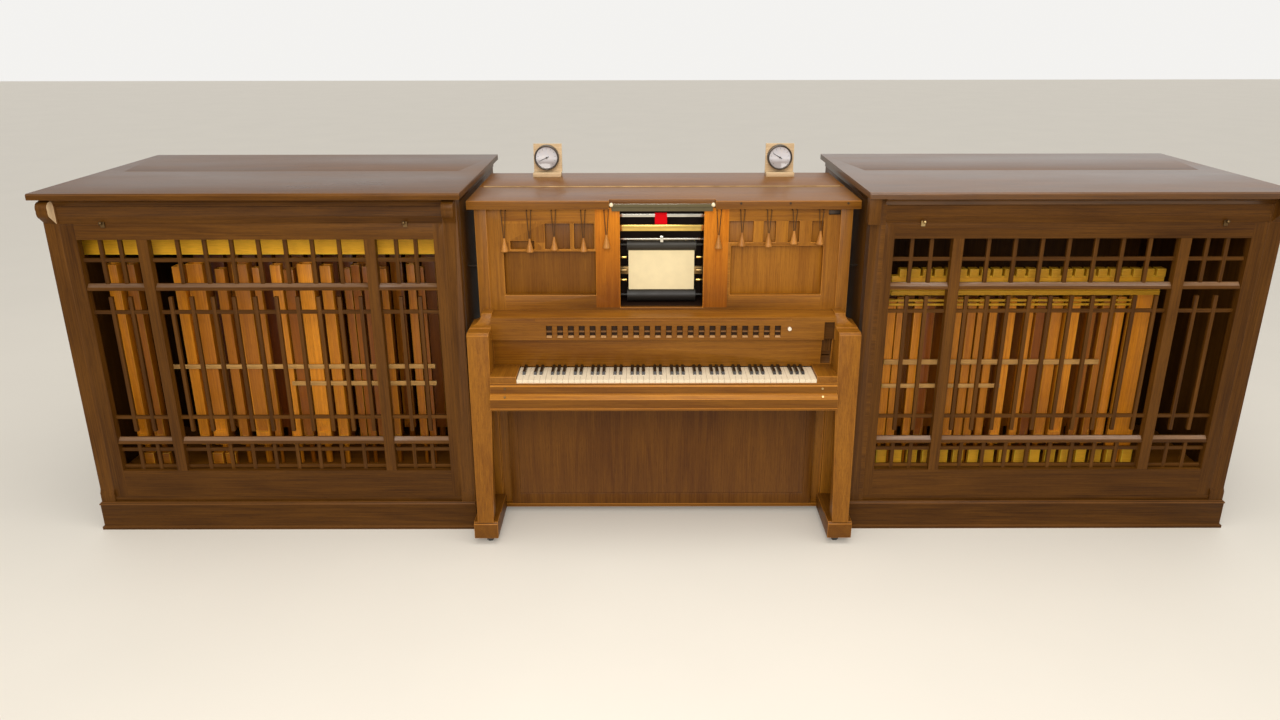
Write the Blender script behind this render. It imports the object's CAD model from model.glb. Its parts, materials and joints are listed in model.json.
"""Theatre pipe organ: its woods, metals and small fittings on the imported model."""

import json
import math
import random

import bpy
from mathutils import Matrix, Quaternion, Vector

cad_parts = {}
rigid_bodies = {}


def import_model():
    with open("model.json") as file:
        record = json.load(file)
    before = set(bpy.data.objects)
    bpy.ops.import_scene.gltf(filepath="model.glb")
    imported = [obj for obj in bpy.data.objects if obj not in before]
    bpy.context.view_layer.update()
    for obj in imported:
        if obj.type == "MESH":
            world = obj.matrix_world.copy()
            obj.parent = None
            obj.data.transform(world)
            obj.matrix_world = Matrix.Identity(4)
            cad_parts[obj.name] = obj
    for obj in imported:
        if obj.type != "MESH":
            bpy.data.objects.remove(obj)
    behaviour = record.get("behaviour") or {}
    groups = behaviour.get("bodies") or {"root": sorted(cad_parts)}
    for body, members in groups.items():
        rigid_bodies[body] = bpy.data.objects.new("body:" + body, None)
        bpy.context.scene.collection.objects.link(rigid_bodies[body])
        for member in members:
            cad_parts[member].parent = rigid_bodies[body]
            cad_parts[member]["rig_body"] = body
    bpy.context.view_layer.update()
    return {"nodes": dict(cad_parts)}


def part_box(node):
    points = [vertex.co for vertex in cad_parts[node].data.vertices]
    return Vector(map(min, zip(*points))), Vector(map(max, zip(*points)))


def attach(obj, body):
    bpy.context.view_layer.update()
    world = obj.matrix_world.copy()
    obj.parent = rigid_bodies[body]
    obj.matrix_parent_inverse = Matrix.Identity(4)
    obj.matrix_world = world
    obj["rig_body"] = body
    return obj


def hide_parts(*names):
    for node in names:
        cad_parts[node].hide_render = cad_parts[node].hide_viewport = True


bl_info = {
    "name": "Theatre pipe organ",
    "version": (1, 0, 0),
    "blender": (4, 5, 0),
    "location": "View3D > Sidebar > Organ",
    "description": "Finishes the organ's boards, pipes, keys and fittings",
    "category": "Object",
}

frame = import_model()

SIDES = (("left", -1), ("right", 1))

# Angles between two faces: one flat face again, one round face, an edge of a board or of a small piece
FLAT, ROUND, BOARD_EDGE, SMALL_EDGE = (math.radians(degrees) for degrees in (0.5, 32, 30, 50))
# A face looks along an axis where its normal reaches this far along it
FACING = 0.9
# Corners nearer than this, in metres, become one
WELD = 0.00002
# A piece's sawn and worn woods come first, and its other materials from this place on
OTHERS = 2


def within(value, span):
    return span[0] < value < span[1]


# Property groups: the colours and sizes that a user would change


def colour(name, text, default):
    return bpy.props.FloatVectorProperty(
        name=name, description=text, default=default, subtype="COLOR", min=0, max=1, size=3)


def light_of(wood_name, default):
    return colour(wood_name.capitalize() + " light", "Light streaks of the " + wood_name, default)


def dark_of(wood_name, default):
    return colour(wood_name.capitalize() + " dark", "Dark streaks of the " + wood_name, default)


def angle(name, text, degrees):
    return bpy.props.FloatProperty(
        name=name, description=text, default=math.radians(degrees), subtype="ANGLE", unit="ROTATION")


def length(name, text, default):
    return bpy.props.FloatProperty(
        name=name, description=text, default=default, min=0, subtype="DISTANCE", unit="LENGTH")


def share(name, text, default):
    return bpy.props.FloatProperty(
        name=name, description=text, default=default, min=0, max=1, subtype="FACTOR")


class OrganWoods(bpy.types.PropertyGroup):
    """Colours of the stained and varnished boards."""

    cabinet_light: light_of("cabinet oak", (0.138, 0.051, 0.006))
    cabinet_dark: dark_of("cabinet oak", (0.052, 0.0175, 0.0025))
    console_light: light_of("console oak", (0.400, 0.155, 0.013))
    console_dark: dark_of("console oak", (0.200, 0.064, 0.005))
    sheen_light: light_of("rubbed rail slopes", (0.240, 0.115, 0.040))
    sheen_dark: dark_of("rubbed rail slopes", (0.110, 0.046, 0.014))
    lamplit_light: light_of("roll box posts", (0.560, 0.180, 0.008))
    lamplit_dark: dark_of("roll box posts", (0.340, 0.088, 0.003))
    pipe_light: light_of("pipe wood", (0.880, 0.320, 0.013))
    pipe_dark: dark_of("pipe wood", (0.480, 0.140, 0.006))
    board_light: light_of("rack boards", (1.000, 0.520, 0.030))
    board_dark: dark_of("rack boards", (0.860, 0.400, 0.016))
    strip_light: light_of("thin strips", (0.620, 0.340, 0.105))
    strip_dark: dark_of("thin strips", (0.400, 0.190, 0.045))
    stand_light: light_of("raw gauge stands", (0.780, 0.560, 0.330))
    stand_dark: dark_of("raw gauge stands", (0.560, 0.360, 0.180))
    arris: length("Arris", "Rounding of the edges of a board", 0.0015)
    wear: share("Wear", "How much paler the worn edges are", 0.40)


class OrganStage(bpy.types.PropertyGroup):
    """The camera, the floor and the light."""

    eye: bpy.props.FloatVectorProperty(
        name="Eye", description="Place of the camera", default=(-0.0964, -4.2017, 2.1411),
        subtype="TRANSLATION", unit="LENGTH")
    pitch: angle("Pitch", "Tilt of the camera below the horizon", 19.847)
    roll: angle("Roll", "Turn of the camera about its own axis", -0.092)
    lens: bpy.props.FloatProperty(
        name="Lens", description="Focal length on a sensor 36 mm wide", default=26.967, unit="CAMERA")
    floor: colour("Floor", "Colour of the pale floor", (0.660, 0.620, 0.550))
    backdrop: colour("Backdrop", "What the camera and the gloss see behind the organ", (0.900, 0.890, 0.870))
    air: colour("Air", "Colour of the light from all round", (1.000, 0.975, 0.930))
    lamp: colour("Lamp", "Colour of the two lamps", (1.000, 0.970, 0.920))
    floor_lift: share("Floor lift", "How much paler than lit the floor is to the camera", 0.22)
    air_level: share("Air level", "Strength of the light from all round", 0.62)


# Shader helpers

# Noise cells per metre of a board: across it, through it and along its grain
SWELLS = (7, 7, 0.55)
FIBRES = (230, 230, 4)
PORES = (900, 900, 26)
STAINS = (3.0, 3.0, 1.1)
RINGS = 52.0
# How much the fibres and the stain shift a board between its two colours
FIBRE_SHIFT = 1.5
STAIN_SHIFT = 1.1
# The pores open between these two values of their noise, and how dark and dense they then are
PORE_EDGE = (0.56, 0.70)
PORE_KEPT = 0.4
PORE_SHARE = 0.4
# The same of the scratches on metal and of the grain on paint
SCRATCHES = 900.0
PAINT_GRAIN = 700.0
# The noise value from which a cloud has its full share
CLOUD_FULL = 0.7


def put(tree, kind, settings=(), **sockets):
    """Adds a shader node; each socket takes a number, a colour or another node's output."""
    node = tree.nodes.new("ShaderNode" + kind)
    for key, value in dict(settings).items():
        setattr(node, key, value)
    for key, value in sockets.items():
        socket = node.inputs[key.replace("_", " ")]
        if isinstance(value, bpy.types.NodeSocket):
            tree.links.new(value, socket)
        else:
            socket.default_value = value
    return node


def sums(tree, operation, first, second=None, third=None):
    """One arithmetic step on numbers."""
    node = tree.nodes.new("ShaderNodeMath")
    node.operation = operation
    for socket, value in zip(node.inputs, (first, second, third)):
        if isinstance(value, bpy.types.NodeSocket):
            tree.links.new(value, socket)
        elif value is not None:
            socket.default_value = value
    return node.outputs[0]


def spread(tree, value, low, high, top=1.0):
    """Maps the numbers of a range to those from 0 to the top, and stops at its ends."""
    return put(tree, "MapRange", Value=value, From_Min=low, From_Max=high, To_Max=top).outputs[0]


def blend_colours(tree, share_of_second, first, second, kind="MIX"):
    """Mixes two colours."""
    node = tree.nodes.new("ShaderNodeMix")
    node.data_type = "RGBA"
    node.blend_type = kind
    for index, value in ((0, share_of_second), (6, first), (7, second)):
        if isinstance(value, bpy.types.NodeSocket):
            tree.links.new(value, node.inputs[index])
        elif index == 0:
            node.inputs[index].default_value = value
        else:
            node.inputs[index].default_value = (*value, 1)
    return node.outputs[2]


def noise(tree, spot, scale, detail=2.0, roughness=0.5):
    return put(tree, "TexNoise", Vector=spot, Scale=scale, Detail=detail, Roughness=roughness).outputs[0]


def grain(tree, spot, cells, detail=2.0, roughness=0.5):
    """A noise with its own number of cells per metre along each axis of a board."""
    place = put(tree, "Mapping", Vector=spot, Scale=cells).outputs[0]
    return noise(tree, place, 1.0, detail, roughness)


def own_place(tree):
    """The place of a point in its own object."""
    return put(tree, "TexCoord").outputs["Object"]


def darker(tint, kept):
    """A colour of which a share is kept."""
    return tuple(value * kept for value in tint)


def clouded(tree, cloud, most, first, second, start=0.35):
    """The first colour, clouded by at most a share of the second."""
    return blend_colours(tree, spread(tree, cloud, start, CLOUD_FULL, most), first, second)


def bumped(tree, height, strength, depth=0.0002):
    """The direction of a surface with a fine relief."""
    return put(tree, "Bump", Strength=strength, Distance=depth, Height=height).outputs[0]


def feed(tree, shader, **sockets):
    """Links other nodes' outputs to the shader's sockets."""
    for key, value in sockets.items():
        tree.links.new(value, shader.inputs[key.replace("_", " ")])


def fresh_material(name, **sockets):
    """A material with its shader; the sockets given here hold all over the surface."""
    material = bpy.data.materials.new(name)
    material.use_nodes = True
    shader = material.node_tree.nodes["Principled BSDF"]
    for key, value in sockets.items():
        shader.inputs[key.replace("_", " ")].default_value = value
    return material, material.node_tree, shader


def wood(name, light, dark, rough, coat=0.0, gloss=0.25, paler=0.0, figure=0.12,
        deep=(0.36, 0.33, 0.30), bright=(1.40, 1.45, 1.50), laid=True):
    """A board: arched growth rings, fibres and pores along the grain, a cloudy stain and its own tone.

    A laid board has its place and its tone in attributes; any other piece has its grain along Z.
    """
    material, tree, shader = fresh_material(
        name, Coat_Weight=coat, Coat_Roughness=0.2, Specular_IOR_Level=gloss)
    if laid:
        spot = put(tree, "Attribute", {"attribute_name": "board_spot"}).outputs["Vector"]
        tone = put(tree, "Attribute", {"attribute_name": "board_tone"}).outputs["Fac"]
    else:
        spot = own_place(tree)
        tone = 0.5
    swell = grain(tree, spot, SWELLS)
    rings = sums(tree, "SINE", sums(tree, "MULTIPLY", swell, RINGS))
    fibre = grain(tree, spot, FIBRES, 3.0, 0.6)
    pores = grain(tree, spot, PORES, 1.0)
    stain = grain(tree, spot, STAINS, 3.0)
    level = sums(tree, "MULTIPLY_ADD", sums(tree, "SUBTRACT", fibre, 0.5), FIBRE_SHIFT, 0.5)
    level = sums(tree, "MULTIPLY_ADD", rings, figure, level)
    level = sums(tree, "MULTIPLY_ADD", sums(tree, "SUBTRACT", stain, 0.5), STAIN_SHIFT, level)
    ground = blend_colours(tree, spread(tree, level, 0.0, 1.0), dark, light)
    opened = spread(tree, pores, *PORE_EDGE)
    ground = blend_colours(tree, sums(tree, "MULTIPLY", opened, PORE_SHARE), ground, darker(dark, PORE_KEPT))
    ground = blend_colours(tree, 1.0, ground, blend_colours(tree, tone, deep, bright), "MULTIPLY")
    if paler:
        worn = tuple(min(1, 1.9 * value + 0.02) for value in light)
        ground = blend_colours(tree, paler, ground, worn)
    height = sums(tree, "MULTIPLY_ADD", opened, -0.6, sums(tree, "MULTIPLY", fibre, 0.4))
    feed(tree, shader, Base_Color=ground, Normal=bumped(tree, height, 0.35, 0.0005),
        Roughness=sums(tree, "MULTIPLY_ADD", stain, 0.24, rough - 0.12))
    return material


def metal(name, tint, rough, dull=0.0):
    """Polished or worn metal with fine scratches and a clouded polish."""
    material, tree, shader = fresh_material(name, Metallic=1.0)
    place = own_place(tree)
    cloud = noise(tree, place, 14.0, 3.0)
    feed(tree, shader, Base_Color=clouded(tree, cloud, 0.6 + dull * 0.4, tint, darker(tint, 0.6)),
        Roughness=sums(tree, "MULTIPLY_ADD", cloud, 0.25, rough - 0.12),
        Normal=bumped(tree, noise(tree, place, SCRATCHES), 0.15))
    return material


def lacquer(name, tint, rough, speck=0.15, coat=0.0, gloss=0.5):
    """Paint, plastic or paper: one colour with slight clouds and a fine surface."""
    material, tree, shader = fresh_material(
        name, Coat_Weight=coat, Coat_Roughness=0.1, Specular_IOR_Level=gloss)
    place = own_place(tree)
    cloud = noise(tree, place, 22.0, 4.0)
    feed(tree, shader, Base_Color=clouded(tree, cloud, speck, tint, darker(tint, 0.55)),
        Roughness=sums(tree, "MULTIPLY_ADD", cloud, 0.2, rough - 0.1),
        Normal=bumped(tree, noise(tree, place, PAINT_GRAIN), 0.1))
    return material


# Modelling helpers

# The three axes in the order across, through and along the grain, by the axis of the grain
GRAIN_LAST = {"X": (1, 2, 0), "Y": (0, 2, 1), "Z": (0, 1, 2)}
# Boards take their grain from places up to this far apart, in metres
GRAIN_APART = 9
# The range of a board's tone where its rule gives none
MIDDLE_TONES = (0.42, 0.68)


def solo(piece):
    """Selects one object alone and makes it the active one."""
    bpy.ops.object.select_all(action="DESELECT")
    piece.select_set(True)
    bpy.context.view_layer.objects.active = piece


def saw(piece, cuts):
    """Cuts a mesh along planes, as the joints between boards run; nothing is taken away."""
    solo(piece)
    bpy.ops.object.mode_set(mode="EDIT")
    for axis, place in cuts:
        normal = [0, 0, 0]
        normal["XYZ".index(axis)] = 1
        bpy.ops.mesh.select_all(action="SELECT")
        bpy.ops.mesh.bisect(plane_co=[place * value for value in normal], plane_no=normal)
    bpy.ops.object.mode_set(mode="OBJECT")


def lay_boards(piece, board_of, glow=None):
    """Stores at each corner its place in its own board, with the grain along Z, and the board's tone.

    A glow, where one is given, adds to the tone by the corner's place.
    """
    mesh = piece.data
    spots, tones = [], []
    for face in mesh.polygons:
        corners = [mesh.vertices[index].co for index in face.vertices]
        size = [max(c[i] for c in corners) - min(c[i] for c in corners) for i in range(3)]
        axis, board, *tone_range = board_of(face.center, face.normal, size)
        chance = random.Random(f"{piece.name} {board}")
        shift = [chance.uniform(0, GRAIN_APART) for _ in range(3)]
        tone = chance.uniform(*(tone_range or MIDDLE_TONES))
        for corner in corners:
            spots += [corner[GRAIN_LAST[axis][i]] + shift[i] for i in range(3)]
            tones.append(tone + (glow(corner) if glow else 0))
    mesh.attributes.new("board_spot", "FLOAT_VECTOR", "CORNER")
    mesh.attributes.new("board_tone", "FLOAT", "CORNER")
    mesh.attributes["board_spot"].data.foreach_set("vector", spots)
    mesh.attributes["board_tone"].data.foreach_set("value", tones)


def pick_faces(piece, passes):
    """Selects the faces that pass a test, and leaves the piece in edit mode."""
    solo(piece)
    bpy.ops.object.mode_set(mode="EDIT")
    bpy.ops.mesh.select_mode(type="FACE")
    bpy.ops.mesh.select_all(action="DESELECT")
    bpy.ops.object.mode_set(mode="OBJECT")
    for face in piece.data.polygons:
        face.select = passes(face)
    bpy.ops.object.mode_set(mode="EDIT")


def block(name, low, high):
    """A box between two corners, with its place in its mesh, to be shaped further."""
    bpy.ops.object.select_all(action="DESELECT")
    bpy.ops.mesh.primitive_cube_add(size=1, location=(low + high) / 2, scale=high - low)
    piece = bpy.context.active_object
    piece.name = name
    bpy.ops.object.transform_apply(location=True, rotation=True, scale=True)
    return piece


def disc(name, centre, radius, thick, sides=24):
    """A short cylinder whose flat faces look to the front and the back, to be shaped further."""
    bpy.ops.object.select_all(action="DESELECT")
    bpy.ops.mesh.primitive_cylinder_add(vertices=sides, radius=radius, depth=thick, location=centre,
        rotation=(math.pi / 2, 0, 0))
    piece = bpy.context.active_object
    piece.name = name
    bpy.ops.object.transform_apply(location=True, rotation=True, scale=True)
    return piece


def inset_and_push(piece, width, move):
    """Insets a piece's front faces and moves their inner part, forwards if the move is negative."""
    pick_faces(piece, lambda face: face.normal.y < -FACING)
    bpy.ops.mesh.inset(thickness=width)
    bpy.ops.mesh.extrude_region_move(TRANSFORM_OT_translate={"value": (0, move, 0)})
    bpy.ops.object.mode_set(mode="OBJECT")


def soften(piece, width, edge=SMALL_EDGE, worn=0):
    """Rounds the sharp edges of a piece; the rounded faces take the material at the place worn."""
    solo(piece)
    bevel = piece.modifiers.new("Bevel", "BEVEL")
    bevel.width = width
    bevel.segments = 2
    bevel.limit_method = "ANGLE"
    bevel.angle_limit = edge
    bevel.material = worn
    bpy.ops.object.modifier_apply(modifier=bevel.name)


def smooth(piece):
    """Smooths the round faces of a piece and leaves its edges sharp."""
    solo(piece)
    bpy.ops.object.shade_smooth_by_angle(angle=ROUND)


def give(piece, materials):
    for material in materials:
        piece.data.materials.append(material)


def copied(piece, move):
    """A copy of a piece with its own mesh, moved by a matrix."""
    twin = piece.copy()
    twin.data = piece.data.copy()
    twin.data.transform(move)
    bpy.context.scene.collection.objects.link(twin)
    return twin


def joined(parts, name):
    """Joins pieces into the first of them and smooths its round faces."""
    solo(parts[0])
    for part in parts:
        part.select_set(True)
    bpy.ops.object.join()
    parts[0].name = name
    smooth(parts[0])
    return parts[0]


def row_of_heads(name, centre, radius, thick, rim, push, rounding, steps):
    """Turned heads in a row: one is modelled and the others are its copies, some steps along X."""
    head = disc(name, centre, radius, thick)
    inset_and_push(head, rim, push)
    soften(head, rounding)
    return joined([head, *(copied(head, Matrix.Translation((step, 0, 0))) for step in steps)], name)


def add_piece(piece, body, materials=()):
    """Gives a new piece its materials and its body."""
    give(piece, materials)
    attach(piece, body)


def copy_of(node, name, materials):
    """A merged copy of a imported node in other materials, with its flat faces whole again."""
    piece = bpy.data.objects.new(name, frame["nodes"][node].data.copy())
    bpy.context.scene.collection.objects.link(piece)
    solo(piece)
    if piece.data.has_custom_normals:
        bpy.ops.mesh.customdata_custom_splitnormals_clear()
    bpy.ops.object.mode_set(mode="EDIT")
    bpy.ops.mesh.select_all(action="SELECT")
    bpy.ops.mesh.remove_doubles(threshold=WELD)
    bpy.ops.mesh.dissolve_limited(angle_limit=FLAT)
    bpy.ops.object.mode_set(mode="OBJECT")
    piece.data.materials.clear()
    give(piece, materials)
    return piece


def stand_for(piece, node):
    """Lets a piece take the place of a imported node, on the node's own body and slot."""
    body = frame["nodes"][node]["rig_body"]
    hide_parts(node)
    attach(piece, body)


def keep_within(piece, node):
    """Holds a piece inside the box of the node that it stands for."""
    low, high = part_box(node)
    for vertex in piece.data.vertices:
        vertex.co = [min(max(value, low[i]), high[i]) for i, value in enumerate(vertex.co)]


def joinery(node, materials, board_of, cuts=(), arris=None, paint=None, glow=None):
    """Boards of one node: a merged copy with softened arrises, sawn and laid board by board.

    The second material is for the arrises; paint gives some faces another of the materials.
    """
    piece = copy_of(node, node + "_boards", materials)
    soften(piece, arris or bpy.context.scene.organ_woods.arris, BOARD_EDGE, worn=1)
    if cuts:
        saw(piece, cuts)
    keep_within(piece, node)
    lay_boards(piece, board_of, glow)
    if paint:
        for face in piece.data.polygons:
            face.material_index = paint(face.center, face.normal, face.material_index)
    smooth(piece)
    stand_for(piece, node)


def dressed(node, materials, finish_of, arris=0.0008):
    """A fitting of several finishes: a merged copy whose faces take theirs by their place."""
    piece = copy_of(node, node + "_dressed", materials)
    if arris:
        soften(piece, arris)
    for face in piece.data.polygons:
        face.material_index = finish_of(face.center, face.normal)
    smooth(piece)
    stand_for(piece, node)


def one_way(axis, *tone_range):
    """A rule for a node whose boards all run one way, with the range that their tone is drawn from."""
    return lambda centre, normal, size: (axis, "all", *tone_range)


def others_where(test):
    """A paint rule: a piece's other materials where the middle of a face passes a test."""
    return lambda centre, normal, index: index + OTHERS if test(centre) else index


def planks(node, materials, across, width, tones=(0.40, 0.64)):
    """A wall glued up from upright planks of about one width, each with its own tone."""
    axis = "XYZ".index(across)
    start, end = (corner[axis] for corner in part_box(node))
    count = max(1, round((end - start) / width))
    step = (end - start) / count
    cuts = [(across, start + step * index) for index in range(1, count)]
    joinery(node, materials, lambda centre, normal, size: ("Z", "plank %d %d" % (
        (centre[axis] - start) // step, centre.x > 0), *tones), cuts)


def coat_node(node, material):
    """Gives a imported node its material."""
    slots = frame["nodes"][node].data.materials
    slots.clear()
    slots.append(material)


def oak_set(name, kind, **finish):
    """A sawn and an edge-worn material in one kind's two colours, made once and then shared."""
    look = bpy.context.scene.organ_woods
    light, dark = (tuple(getattr(look, kind + end)) for end in ("_light", "_dark"))
    if name not in bpy.data.materials:
        wood(name, light, dark, **finish)
        wood(name + "_worn", light, dark, paler=look.wear, **finish)
    return [bpy.data.materials[name], bpy.data.materials[name + "_worn"]]


def cabinet_woods(polished=None):
    """The cabinets' oak; the polish of the left lid has gone duller than the right one's."""
    if polished:
        coat, gloss = (0.12, 0.5) if polished == "right" else (0.0, 0.12)
        return oak_set(polished + "_lid_oak", "cabinet", rough=0.32, coat=coat, gloss=gloss)
    return oak_set("cabinet_oak", "cabinet", rough=0.42, coat=0.02, gloss=0.12)


def console_woods(polished=False):
    """The console's paler oak, whose lids have a little more gloss."""
    name, gloss = ("console_lid_oak", 0.25) if polished else ("console_oak", 0.18)
    return oak_set(name, "console", rough=0.38, coat=0.03, gloss=gloss)


# Operators


class ORGAN_OT_camera(bpy.types.Operator):
    """Puts the camera where the photograph was taken from."""

    bl_idname = "organ.camera"
    bl_label = "Camera"

    def execute(self, context):
        stage = context.scene.organ_stage
        data = bpy.data.cameras.new("organ_camera")
        data.sensor_width = 36
        data.lens = stage.lens
        data.clip_end = 60
        eye = bpy.data.objects.new("organ_camera", data)
        eye.location = stage.eye
        eye.rotation_mode = "QUATERNION"
        eye.rotation_quaternion = (Quaternion((1, 0, 0), math.pi / 2 - stage.pitch)
            @ Quaternion((0, 0, 1), stage.roll))
        context.scene.collection.objects.link(eye)
        context.scene.camera = eye
        return {"FINISHED"}


class ORGAN_OT_stage(bpy.types.Operator):
    """Lays the pale floor and hangs the soft lamps."""

    bl_idname = "organ.stage"
    bl_label = "Stage"

    def execute(self, context):
        stage = context.scene.organ_stage
        bpy.ops.object.select_all(action="DESELECT")
        bpy.ops.mesh.primitive_plane_add(size=60, location=(0, 0, 0))
        floor = context.active_object
        floor.name = "stage_floor"
        material, tree, shader = fresh_material("stage_floor", Roughness=0.6)
        cloud = noise(tree, own_place(tree), 1.3, 5.0)
        pale = tuple(stage.floor)
        shader.inputs["Emission Color"].default_value = (*pale, 1)
        seen = put(tree, "LightPath").outputs["Is Camera Ray"]
        feed(tree, shader, Base_Color=clouded(tree, cloud, 0.16, pale, darker(pale, 0.8), start=0.3),
            Emission_Strength=sums(tree, "MULTIPLY", seen, stage.floor_lift))
        give(floor, [material])
        world = bpy.data.worlds.new("stage_air")
        world.use_nodes = True
        tree = world.node_tree
        air = tree.nodes["Background"]
        air.inputs["Color"].default_value = (*stage.air, 1)
        air.inputs["Strength"].default_value = stage.air_level
        backdrop = put(tree, "Background", Color=(*stage.backdrop, 1), Strength=1.0)
        rays = put(tree, "LightPath").outputs
        seen = sums(tree, "MAXIMUM", rays["Is Camera Ray"], rays["Is Glossy Ray"])
        seen = sums(tree, "MAXIMUM", seen, rays["Is Transmission Ray"])
        mix = put(tree, "MixShader", Fac=seen)
        tree.links.new(air.outputs[0], mix.inputs[1])
        tree.links.new(backdrop.outputs[0], mix.inputs[2])
        tree.links.new(mix.outputs[0], tree.nodes["World Output"].inputs["Surface"])
        context.scene.world = world
        self.lamp(context, "front_lamp", place=(-0.4, -5.4, 3.4), aim=(0, 0.2, 0.7), size=3.0, power=190)
        self.lamp(context, "top_lamp", place=(0.6, -1.2, 4.6), aim=(0, 0.0, 0.6), size=4.0, power=110)
        context.scene.view_settings.view_transform = "Standard"
        return {"FINISHED"}

    def lamp(self, context, name, place, aim, size, power):
        data = bpy.data.lights.new(name, "AREA")
        data.size = size
        data.energy = power
        data.color = context.scene.organ_stage.lamp
        lamp = bpy.data.objects.new(name, data)
        lamp.location = place
        lamp.rotation_mode = "QUATERNION"
        lamp.rotation_quaternion = (Vector(aim) - Vector(place)).to_track_quat("-Z", "Y")
        context.scene.collection.objects.link(lamp)


# The width of a plank of the walls, and of the posts at the ends of a front frame
PLANK = 0.185
POST = 0.060
# The lid's moulding ends at this height
MOULDING_TOP = 1.4635
# Between the foot board and the frieze of a front frame
HALF_WAY = 0.8
# The outer left corbel lies outwards, forwards and upwards of these places on X, Y and Z
CORBEL = (-2.30, -0.4475, 1.33)


class ORGAN_OT_cabinets(bpy.types.Operator):
    """Finishes the walls, plinths, front frames and lids of both cabinets."""

    bl_idname = "organ.cabinets"
    bl_label = "Cabinets"

    def execute(self, context):
        woods = cabinet_woods()
        bare = oak_set("bare_oak", "stand", rough=0.6, figure=0.06)[:1]
        for side, _ in SIDES:
            planks(side + "_end_walls", woods, "Y", PLANK)
            planks(side + "_back_wall", woods, "X", PLANK)
            joinery(side + "_plinth", woods, self.plinth_board)
            joinery(side + "_lid", cabinet_woods(polished=side), self.lid_board)
            low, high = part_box(side + "_front_frame")
            ends = (low.x + POST, high.x - POST)
            joinery(side + "_front_frame", woods + bare, self.frame_board(*ends),
                [("X", x) for x in ends], paint=self.bare_corbel)
        return {"FINISHED"}

    def plinth_board(self, centre, normal, size):
        return ("Y", "end") if abs(normal.x) > 0.7 else ("X", "front")

    def lid_board(self, centre, normal, size):
        moulding = centre.z < MOULDING_TOP
        across = moulding and size[1] > size[0]
        return ("Y" if across else "X", "moulding" if moulding else "top")

    def bare_corbel(self, centre, normal, index):
        """The side of the outer left corbel that faces the console has lost its stain."""
        corbel = centre.x < CORBEL[0] and centre.y < CORBEL[1] and centre.z > CORBEL[2]
        return OTHERS if corbel and normal.x > 0.6 else index

    def frame_board(self, start, end):
        def rule(centre, normal, size):
            if start < centre.x < end:
                return "X", "frieze" if centre.z > HALF_WAY else "foot"
            return "Z", "post %d" % (centre.x > 0)
        return rule


# Widths on a lattice: its stiles beside the console and at the outer end, a side bay and a mullion
STILE_IN = 0.040
STILE_OUT = 0.057
BAY_SIDE = 0.236
MULLION = 0.043
# Heights of its top and foot rails, and where on Z the rubbed parts of the thick rails' slopes start
RAIL_TOP = 0.064
RAIL_LOW = 0.125
SLOPES = (0.416, 1.099)


class ORGAN_OT_lattices(bpy.types.Operator):
    """Finishes the lattice fronts bar by bar."""

    bl_idname = "organ.lattices"
    bl_label = "Lattices"

    def execute(self, context):
        woods = cabinet_woods()
        sheen = oak_set("rail_sheen", "sheen", rough=0.3, coat=0.25, gloss=0.5)[:1]
        for side, sign in SIDES:
            low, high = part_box(side + "_lattice")
            inner, outer = (low.x, high.x) if sign > 0 else (high.x, low.x)
            edges = [inner + sign * STILE_IN, outer - sign * STILE_OUT]
            first, last = edges[0] + sign * BAY_SIDE, edges[1] - sign * BAY_SIDE
            mullions = [(first, first + sign * MULLION), (last - sign * MULLION, last)]
            rails = (low.z + RAIL_LOW, high.z - RAIL_TOP)
            cuts = [("X", x) for x in edges] + [("Z", z) for z in (*rails, *SLOPES)]
            rule = self.rule(edges, mullions, rails)
            joinery(side + "_lattice", woods + sheen, rule, cuts, paint=self.sloped)
        return {"FINISHED"}

    def sloped(self, centre, normal, index):
        """The upper part of the two thick rails' sloping fronts is rubbed pale and shiny."""
        upper = centre.z > SLOPES[1] or SLOPES[0] < centre.z < sum(SLOPES) / 2
        return OTHERS if index == 0 and upper and normal.z > 0.5 and normal.y < -0.5 else index

    def rule(self, edges, mullions, rails):
        left, right = sorted(edges)

        def board(centre, normal, size):
            if centre.x < left or centre.x > right:
                return "Z", "stile %d" % (centre.x > left)
            if centre.z < rails[0] or centre.z > rails[1]:
                return "X", "rail %d" % (centre.z > rails[0])
            for start, end in mullions:
                if min(start, end) <= centre.x <= max(start, end):
                    return "Z", "mullion %.2f" % start
            if size[0] > size[2]:
                return "X", "bar %.2f" % centre.z
            return "Z", "bar %.2f" % centre.x
        return board


# The chest's top, on which its blocks stand
CHEST_TOP = 0.2432
# Places that tell the pipes apart: one step along X a pipe, and the start of the rear rank on Y
PIPE_STEP = 0.06
REAR_RANK = -0.2
# The thin strips lie between two heights, outside of one place on X and short of the guard board
STRIPS = (0.60, 0.76)
STRIPS_FROM = 0.96
GUARD_FROM = 1.975
GUARD_TOP = 0.95


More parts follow.
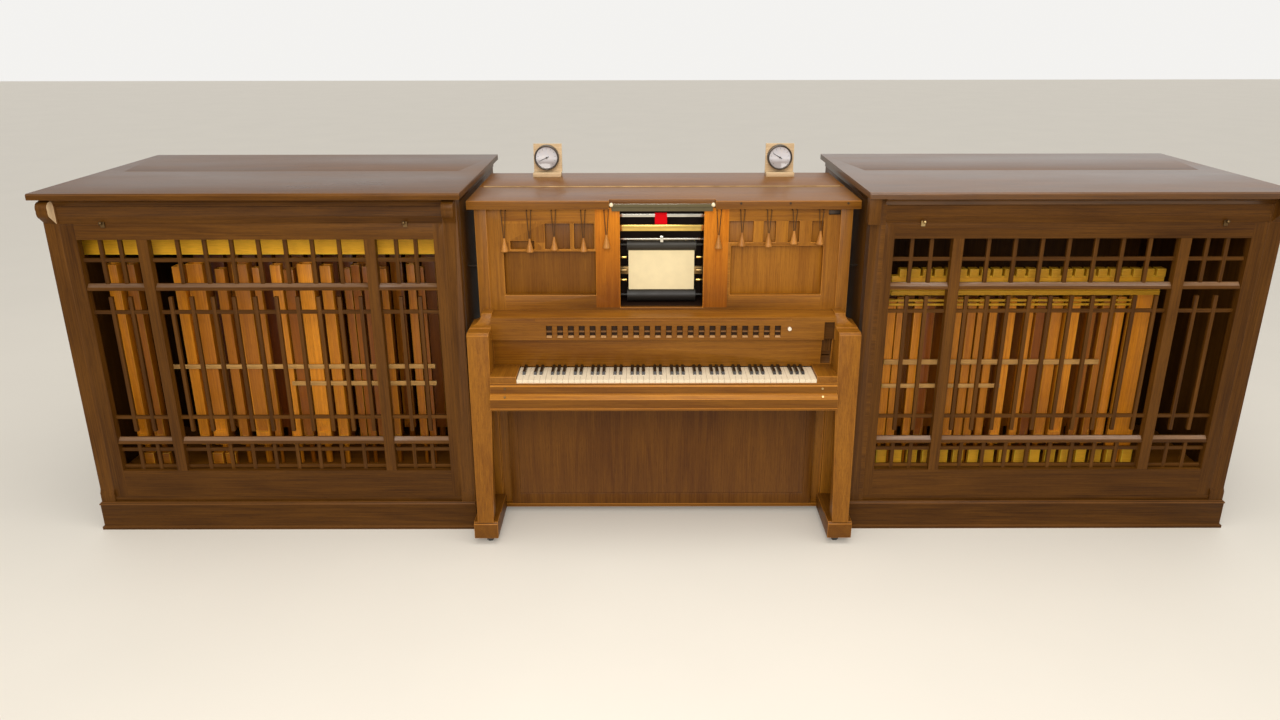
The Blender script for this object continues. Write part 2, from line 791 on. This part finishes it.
class ORGAN_OT_pipework(bpy.types.Operator):
    """Finishes the wooden pipes, their chests and racks."""

    bl_idname = "organ.pipework"
    bl_label = "Pipework"

    def execute(self, context):
        pine = oak_set("pipe_pine", "pipe", rough=0.34, coat=0.05, gloss=0.3, figure=0.08,
            deep=(0.20, 0.11, 0.04), bright=(1.15, 1.20, 1.30))
        board = oak_set("rack_board", "board", rough=0.5, figure=0.06)
        strip = oak_set("strip_pine", "strip", rough=0.6, figure=0.06)
        console = console_woods()
        joinery("left_pipes", pine, self.pipe_board)
        joinery("right_pipes", pine, self.pipe_board)
        joinery("left_rack", board + strip, self.rack_board, paint=self.rack_woods)
        joinery("right_rack", board + strip + pine, self.rack_board, paint=self.rack_woods)
        blocks = others_where(lambda centre: centre.z > CHEST_TOP)
        joinery("left_wind_chest", console + pine, self.chest_board, paint=blocks)
        joinery("right_wind_chest", console + board, self.chest_board, paint=blocks)
        return {"FINISHED"}

    def pipe_board(self, centre, normal, size):
        rear = centre.y > REAR_RANK
        tones = (0.0, 0.35) if rear else (0.15, 0.95) if centre.x < 0 else (0.05, 0.70)
        return ("Z", "pipe %d %d" % (round(centre.x / PIPE_STEP), rear), *tones)

    def chest_board(self, centre, normal, size):
        """The chest, and the blocks on it before the pipes' feet."""
        if centre.z < CHEST_TOP:
            return "X", "chest", 0.0, 0.25
        return ("X", "block %.2f" % centre.x, *((0.22, 0.42) if centre.x > 0 else (0.25, 0.50)))

    def rack_board(self, centre, normal, size):
        """The left head board is bright and the right one dark."""
        if self.thin_strip(centre):
            tones = (0.45, 0.55)
        elif centre.x < 0:
            tones = (0.55, 0.65)
        else:
            tones = (0.60, 0.70) if self.guard(centre) else (0.12, 0.24)
        return (("X" if size[0] > size[2] else "Z"), "strip %.2f" % centre.z, *tones)

    def thin_strip(self, centre):
        """Tells the thin strips that steady the front rank."""
        return within(centre.z, STRIPS) and abs(centre.x) > STRIPS_FROM and centre.x < GUARD_FROM

    def guard(self, centre):
        """Tells the guard board beside the right rank."""
        return centre.x > GUARD_FROM and centre.z < GUARD_TOP

    def rack_woods(self, centre, normal, index):
        """The thin strips are raw wood, and the guard board is pine."""
        return index + (OTHERS if self.thin_strip(centre) else 2 * OTHERS if self.guard(centre) else 0)


# The middle of the roll box on X, and how far from it a post beside the box starts and ends
BOX_OFF = -0.006
POST_IN = 0.172
POST_OUT = 0.272
# What reaches this much further towards the box still counts as the post's
POST_LIP = 0.008
# The upper frame's outer stiles start this far from the middle, and its slats lie between two heights
STILE = 0.656
SLATS = (1.233, 1.350)
# Heights at which the upper frame is cut, so that no face runs from one board into another
FRAME_SEAMS = (0.985, 1.039, 1.225, SLATS[0], 1.262, 1.341, SLATS[1])
# The sides of the tall slot, which is stained dark, on X, and the slack that still counts as inside it
SLOT = (0.660, 0.701)
SLACK = 0.0004
# The shelf over the stops starts at this height
SHELF_FOOT = 0.956
# The lamp's glow on the posts: none at this height, its rise in tone per metre, its least value, and
# how far past a post's outer side a corner still takes it
GLOW_EVEN = 1.22
GLOW_RISE = 2.25
GLOW_LEAST = -0.42
GLOW_SLACK = 0.001


class ORGAN_OT_console(bpy.types.Operator):
    """Finishes the console's case, lids, arms, legs and panels."""

    bl_idname = "organ.console"
    bl_label = "Console"

    def execute(self, context):
        woods = console_woods()
        for node, axis, tones in (("case_sides", "Z", (0.35, 0.6)), ("case_floor", "X", (0.2, 0.3)),
                ("key_blocks", "Y", (0.28, 0.36)), ("legs", "Z", (0.36, 0.44)), ("toes", "Y", (0.10, 0.20))):
            joinery(node, woods, one_way(axis, *tones))
        planks("case_back", woods, "X", PLANK, (0.28, 0.5))
        joinery("lower_panel", [woods[0], woods[0]], one_way("Z", 0.00, 0.04))
        joinery("key_bed", woods, self.bed_board, arris=0.0025)
        dark_slot = others_where(lambda centre: within(centre.x, (SLOT[0] - SLACK, SLOT[1] + SLACK)))
        joinery("stop_board", woods + cabinet_woods(), self.stop_rail, paint=dark_slot)
        joinery("fallboard", woods + cabinet_woods(), one_way("X", 0.38, 0.44), paint=dark_slot)
        for node in ("lid_rear", "lid_flap"):
            joinery(node, console_woods(polished=True), one_way("X", 0.20, 0.26))
        joinery("upper_panels", woods, self.panel_board)
        lamplit = oak_set("lamplit_oak", "lamplit", rough=0.4, coat=0.02, gloss=0.15)
        seams = [BOX_OFF + reach for reach in (-POST_OUT, -POST_IN, POST_IN, POST_OUT)]
        cuts = [("X", x) for x in (-STILE, *seams, STILE)] + [("Z", z) for z in FRAME_SEAMS]
        joinery("upper_frame", woods + lamplit, self.frame_board, cuts,
            paint=others_where(self.beside_box), glow=self.lamp_glow)
        return {"FINISHED"}

    def panel_board(self, centre, normal, size):
        """The right panel is paler than the left one."""
        return ("Z", "panel", *((0.55, 0.6) if centre.x > 0 else (0.18, 0.22)))

    def bed_board(self, centre, normal, size):
        return ("X", "ledge", 0.65, 0.75) if normal.z > 0.5 else ("X", "slip", 0.18, 0.24)

    def stop_rail(self, centre, normal, size):
        """The shelf over the stops catches the light; the board below it is darker."""
        return ("X", "shelf", 0.42, 0.5) if centre.z > SHELF_FOOT else ("X", "board", 0.24, 0.30)

    def lamp_glow(self, corner):
        """Brighter towards the lamp at the top of the roll box."""
        if abs(corner.x - BOX_OFF) >= POST_OUT + GLOW_SLACK:
            return 0
        return max(GLOW_LEAST, GLOW_RISE * (corner.z - GLOW_EVEN))

    def beside_box(self, centre):
        """Tells the posts beside the roll box, whose lamp brings their oak to orange."""
        post = within(abs(centre.x - BOX_OFF), (POST_IN - POST_LIP, POST_OUT))
        return post and centre.z > FRAME_SEAMS[0]

    def frame_board(self, centre, normal, size):
        if abs(centre.x) > STILE or self.beside_box(centre):
            return "Z", "stile %.1f" % centre.x
        if within(centre.z, SLATS):
            return "Z", "slat %.2f" % centre.x
        return "X", "rail %.1f" % centre.z


# Depths below the top of the box's bars, where one finish ends and the next one starts
RAIL_GLINT = 0.012
SHADE_FOOT = 0.031
NICKEL_FOOT = 0.063
LOW_NICKEL = (0.141, 0.169)
DULL_BAR = (0.283, 0.317)
# The rail's nickel ends start this far from its middle
RAIL_ENDS = 0.196
# The red plate: its span below the top, its middle and half its width on X, and its front on Y
RED_SPAN = (0.043, 0.092)
RED_MIDDLE = -0.010
RED_HALF = 0.026
RED_FRONT = -0.3237


class ORGAN_OT_roll_box(bpy.types.Operator):
    """Finishes the roll box: its inside, bars, rails, rolls and paper."""

    bl_idname = "organ.roll_box"
    bl_label = "Roll box"

    def execute(self, context):
        nickel = metal("nickel", (0.80, 0.76, 0.66), 0.22)
        shade = lacquer("olive_shade", (0.110, 0.085, 0.036), 0.3, coat=0.15, gloss=0.3)
        brass = metal("brass", (0.86, 0.58, 0.16), 0.24)
        dull_brass = metal("dull_brass", (0.46, 0.30, 0.12), 0.42, dull=0.6)
        red = lacquer("red_plate", (0.66, 0.002, 0.006), 0.6, speck=0.05, gloss=0.05)
        self.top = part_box("box_bars")[1].z
        dressed("box_bars", [nickel, shade, brass, dull_brass, red], self.bar_finish, arris=0.0012)
        coat_node("roll_box", lacquer("box_black", (0.020, 0.009, 0.005), 0.5, gloss=0.15))
        coat_node("music_roll", lacquer("roll_grey", (0.038, 0.033, 0.025), 0.42, gloss=0.3))
        coat_node("take_up_spool", lacquer("spool_black", (0.018, 0.015, 0.012), 0.42, gloss=0.3))
        coat_node("roll_paper", lacquer("roll_paper", (0.84, 0.70, 0.42), 0.75, gloss=0.2))
        self.rail_knobs()
        return {"FINISHED"}

    def rail_knobs(self):
        """The turned cream knobs at the two ends of the rail over the roll box."""
        low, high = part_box("box_bars")
        past, radius, boss = 0.0015, 0.008, 0.003
        centre = Vector((low.x - past, low.y + radius / 2, high.z - radius / 2))
        knobs = row_of_heads("rail_knobs", centre, radius, thick=0.014, rim=boss, push=-boss,
            rounding=0.002, steps=[high.x - low.x + 2 * past])
        add_piece(knobs, "organ", [lacquer("knob_cream", (0.78, 0.66, 0.44), 0.3, coat=0.4)])

    def bar_finish(self, centre, normal):
        """The finish of each bar, told by its height and depth."""
        nickel, shade, brass, dull_brass, red = range(5)
        drop = self.top - centre.z
        if drop < SHADE_FOOT:
            lit = normal.z > 0.2 or abs(centre.x - BOX_OFF) > RAIL_ENDS
            return nickel if drop < RAIL_GLINT and lit else shade
        plate = abs(centre.x - RED_MIDDLE) < RED_HALF and centre.y < RED_FRONT
        if plate and within(drop, RED_SPAN):
            return red
        if drop < NICKEL_FOOT or within(drop, LOW_NICKEL):
            return nickel
        return dull_brass if within(drop, DULL_BAR) and abs(normal.x) < 0.5 else brass


# Where a tick and a needle start and end, as shares of the radius, and their widths
TICK, TICK_WIDTH = (0.66, 0.78), 0.0014
NEEDLE, NEEDLE_WIDTH = (-0.2, 0.68), 0.0035
# How far the needle and its boss stand before the dial
NEEDLE_OFF = 0.0015
HUB_OFF = 0.002
# Degrees from three o'clock: the first tick, the sweep of the ticks, and the two needles
FIRST_TICK, SWEEP, READINGS = 225, 270, (205, 150)
# The dial turns from grey to pale between these two places below its middle
DIAL_GREY = (0.022, 0.004)


class ORGAN_OT_gauges(bpy.types.Operator):
    """Makes the two pressure gauges: case and rim, recessed dial with plain ticks, and needle."""

    bl_idname = "organ.gauges"
    bl_label = "Gauges"

    rim: length("Rim", "Width of the dark rim round a dial", 0.007)
    ticks: bpy.props.IntProperty(name="Ticks", description="Number of ticks round a dial", default=11, min=3)

    def execute(self, context):
        low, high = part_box("gauges")
        radius = (high.z - low.z) / 2
        spot = Vector((low.x + radius, low.y + self.rim, (low.z + high.z) / 2))
        self.finishes = [
            metal("gauge_rim", (0.085, 0.070, 0.058), 0.35),
            self.dial_face(spot.z),
            lacquer("gauge_ink", (0.020, 0.020, 0.022), 0.5),
        ]
        tick = self.hand(spot, radius, TICK, TICK_WIDTH)
        needle = self.hand(spot - Vector((0, NEEDLE_OFF, 0)), radius, NEEDLE, NEEDLE_WIDTH)
        parts = [self.case(spot, radius, low.y, high.y), self.hub(spot)]
        for step in range(self.ticks):
            parts.append(copied(tick, self.turned(spot, FIRST_TICK - SWEEP * step / (self.ticks - 1))))
        gap = Matrix.Translation((high.x - low.x - 2 * radius, 0, 0))
        first = joined(parts, "gauge_pair")
        second = copied(first, gap)
        left, right = (self.turned(spot, reading) for reading in READINGS)
        needles = [copied(needle, left), copied(needle, gap @ right)]
        piece = joined([first, second, *needles], "gauge_pair")
        for pattern in (tick, needle):
            bpy.data.objects.remove(pattern)
        stand_for(piece, "gauges")
        return {"FINISHED"}

    def turned(self, spot, degrees):
        """A turn about the dial's own middle, counted from three o'clock."""
        turn = Matrix.Rotation(-math.radians(degrees), 4, "Y")
        return Matrix.Translation(spot) @ turn @ Matrix.Translation(-spot)

    def dial_face(self, middle):
        """A pale dial under glossy glass, greyer in its lower half."""
        material, tree, shader = fresh_material(
            "gauge_dial", Coat_Weight=1.0, Coat_Roughness=0.03, Roughness=0.5)
        place = own_place(tree)
        height = put(tree, "SeparateXYZ", Vector=place).outputs["Z"]
        upper = spread(tree, height, middle - DIAL_GREY[0], middle - DIAL_GREY[1])
        cloud = noise(tree, place, 60.0, 3.0)
        pale = clouded(tree, cloud, 0.5, (0.62, 0.62, 0.66), (0.72, 0.66, 0.62))
        feed(tree, shader, Base_Color=blend_colours(tree, upper, (0.30, 0.26, 0.25), pale))
        return material

    def case(self, spot, radius, front, back):
        """A round case: its front face is inset for the rim and pushed in for the dial."""
        case = disc("gauge_case", (spot.x, (front + back) / 2, spot.z), radius, back - front, sides=64)
        give(case, self.finishes)
        inset_and_push(case, self.rim, self.rim)
        soften(case, 0.002)
        for face in case.data.polygons:
            inner = face.center.y > front + self.rim * 0.8 and face.normal.y < -FACING
            face.material_index = 1 if inner else 0
        return case

    def hand(self, spot, radius, reach, width):
        """A needle or tick that points to three o'clock, narrowed towards its outer end."""
        start, end = (radius * part for part in reach)
        half_thick, narrowed = 0.0004, 0.4
        low = spot + Vector((start, -half_thick, -width / 2))
        high = spot + Vector((end, half_thick, width / 2))
        hand = block("gauge_hand", low, high)
        pick_faces(hand, lambda face: face.normal.x > FACING)
        bpy.ops.transform.resize(value=(1, 1, narrowed))
        bpy.ops.object.mode_set(mode="OBJECT")
        give(hand, self.finishes)
        for face in hand.data.polygons:
            face.material_index = 2
        return hand

    def hub(self, spot):
        """The boss that the needle turns on."""
        hub = disc("gauge_hub", spot - Vector((0, HUB_OFF, 0)), radius=0.004, thick=0.005)
        give(hub, self.finishes)
        soften(hub, 0.0012)
        return hub


# Height of a turned pull, and a little more than its feet hang apart
PULL_TALL = 0.052
PULL_APART = 0.034
# On the stop tabs: the lip's top and the thin strip above their feet; where the knob starts on X
LIP_TOP = 0.0075
TAB_STRIP = (0.022, 0.029)
KNOB_FROM = 0.49
# The keys are black down to this far below their highest point
BLACK_DROP = 0.0118
# The iron hooks lie within this X and above this height; the rubbed button lies short of this X
HOOKS_WITHIN = 0.85
HOOKS_ABOVE = 1.1
BUTTON_END = 1.2
# The lid's screws: the first one's X, steps to the others, height, and how far they stand out
SCREW_FIRST = 0.310
SCREW_STEPS = (0.198, 0.429)
SCREW_HEIGHT = 1.427
SCREW_PROUD = 0.0004


class ORGAN_OT_fittings(bpy.types.Operator):
    """Finishes the keys, stops, pulls, stands, hinge, catches and casters."""

    bl_idname = "organ.fittings"
    bl_label = "Fittings"

    def execute(self, context):
        raw = oak_set("raw_pine", "stand", rough=0.6, figure=0.06)
        joinery("gauge_stands", raw, one_way("X"))
        coat_node("lid_hinge", metal("hinge_brass", (0.30, 0.19, 0.09), 0.5, dull=0.6))
        old_brass = metal("old_brass", (0.20, 0.12, 0.05), 0.5, dull=0.6)
        rubbed = metal("rubbed_brass", (0.62, 0.44, 0.20), 0.3)
        iron = metal("hook_iron", (0.055, 0.040, 0.030), 0.5)
        dressed("catches", [old_brass, rubbed, iron], self.catch_finish, arris=0)
        coat_node("casters", metal("caster_iron", (0.10, 0.10, 0.10), 0.5, dull=0.6))
        turned = wood("pull_wood", (0.58, 0.24, 0.045), (0.30, 0.11, 0.018), 0.4, laid=False)
        cord = lacquer("pull_cord", (0.075, 0.036, 0.014), 0.7, gloss=0.15)
        self.pull_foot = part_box("pulls")[0].z
        self.tab_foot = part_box("stop_tabs")[0].z
        dressed("pulls", [turned, cord], self.pull_finish, arris=0)
        tab = lacquer("tab_brown", (0.028, 0.012, 0.004), 0.5, gloss=0.1)
        strip = lacquer("tab_strip", (0.170, 0.075, 0.022), 0.45, gloss=0.2)
        lip = lacquer("tab_lip", (0.420, 0.220, 0.085), 0.4, gloss=0.3)
        bright = lacquer("knob_pearl", (0.80, 0.70, 0.55), 0.3, coat=0.4)
        dressed("stop_tabs", [tab, strip, lip, bright], self.tab_finish, arris=0.0006)
        coat_node("keys", self.key_material())
        self.slot_liner()
        self.lid_screws(iron)
        self.lid_bracket(iron)
        return {"FINISHED"}

    def pull_finish(self, centre, normal):
        """The turned pulls, and their cords, whose long faces have their middles above all the pulls."""
        return 1 if centre.z > self.pull_foot + PULL_TALL + PULL_APART else 0

    def tab_finish(self, centre, normal):
        """A dark tab with a pale lip at its foot, a thin strip across it, and the pearl knob."""
        if centre.x > KNOB_FROM:
            return 3
        rise = centre.z - self.tab_foot
        if rise < LIP_TOP:
            return 2
        return 1 if within(rise, TAB_STRIP) else 0

    def key_material(self):
        """Ivory white, and black above the height of the white keys."""
        material, tree, shader = fresh_material("key_tops", Roughness=0.35, Coat_Weight=0.12,
            Coat_Roughness=0.15, Specular_IOR_Level=0.25)
        place = own_place(tree)
        height = put(tree, "SeparateXYZ", Vector=place).outputs["Z"]
        raised = sums(tree, "GREATER_THAN", height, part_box("keys")[1].z - BLACK_DROP)
        cloud = noise(tree, place, 30.0, 3.0)
        white = clouded(tree, cloud, 0.4, (0.80, 0.68, 0.50), (0.72, 0.59, 0.40), start=0.3)
        feed(tree, shader, Base_Color=blend_colours(tree, raised, white, (0.014, 0.009, 0.006)))
        return material

    def catch_finish(self, centre, normal):
        """Worn brown brass, apart from one rubbed turn button and the two iron side hooks."""
        if abs(centre.x) < HOOKS_WITHIN and centre.z > HOOKS_ABOVE:
            return 2
        return 1 if 0 < centre.x < BUTTON_END else 0

    def slot_liner(self):
        """The dark board at the bottom of the tall slot beside the keys, with a shallow panel in it."""
        lap, front, back, foot, top = 0.0025, -0.4055, -0.3985, 0.790, 0.912
        low, high = Vector((SLOT[0] - lap, front, foot)), Vector((SLOT[1] + lap, back, top))
        board = block("slot_liner", low, high)
        inset_and_push(board, 0.006, 0.002)
        add_piece(board, "organ", cabinet_woods())
        soften(board, 0.0008, worn=1)
        lay_boards(board, one_way("Z", 0.7, 0.8))

    def lid_screws(self, iron):
        """Small screws with hollow heads along the front edge of the lid flap."""
        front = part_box("lid_flap")[0].y
        spot = Vector((SCREW_FIRST, front - SCREW_PROUD, SCREW_HEIGHT))
        screws = row_of_heads("lid_screws", spot, radius=0.0045, thick=0.0018, rim=0.0030, push=0.0008,
            rounding=0.0004, steps=SCREW_STEPS)
        add_piece(screws, "lid_flap", [iron])

    def lid_bracket(self, iron):
        """The small dark stop plate under the right end of the lid, turned out at its foot."""
        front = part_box("upper_frame")[0].y
        left, right, foot, top, thick = 0.668, 0.716, 1.380, 1.394, 0.0025
        turned_out = (0, -0.004, -0.003)
        plate = block("lid_bracket", Vector((left, front - thick, foot)), Vector((right, front, top)))
        pick_faces(plate, lambda face: face.normal.z < -FACING)
        bpy.ops.mesh.extrude_region_move(TRANSFORM_OT_translate={"value": turned_out})
        bpy.ops.object.mode_set(mode="OBJECT")
        soften(plate, 0.0006)
        add_piece(joined([plate], "lid_bracket"), "organ", [iron])


OPERATORS = (
    ORGAN_OT_camera,
    ORGAN_OT_stage,
    ORGAN_OT_cabinets,
    ORGAN_OT_lattices,
    ORGAN_OT_pipework,
    ORGAN_OT_console,
    ORGAN_OT_roll_box,
    ORGAN_OT_gauges,
    ORGAN_OT_fittings,
)


class ORGAN_PT_tools(bpy.types.Panel):
    """Lists the organ's operators in their order."""

    bl_idname = "ORGAN_PT_tools"
    bl_label = "Organ"
    bl_space_type = "VIEW_3D"
    bl_region_type = "UI"
    bl_category = "Organ"

    def draw(self, context):
        for operator in OPERATORS:
            self.layout.operator(operator.bl_idname)


CLASSES = (OrganWoods, OrganStage, *OPERATORS, ORGAN_PT_tools)


def register():
    for kind in CLASSES:
        bpy.utils.register_class(kind)
    bpy.types.Scene.organ_woods = bpy.props.PointerProperty(type=OrganWoods)
    bpy.types.Scene.organ_stage = bpy.props.PointerProperty(type=OrganStage)


def unregister():
    del bpy.types.Scene.organ_stage
    del bpy.types.Scene.organ_woods
    for kind in reversed(CLASSES):
        bpy.utils.unregister_class(kind)


def main():
    """Builds everything in order and notes the two boxes."""
    register()
    for operator in OPERATORS:
        getattr(bpy.ops.organ, operator.bl_idname.split(".")[1])()


if __name__ == "__main__":
    main()
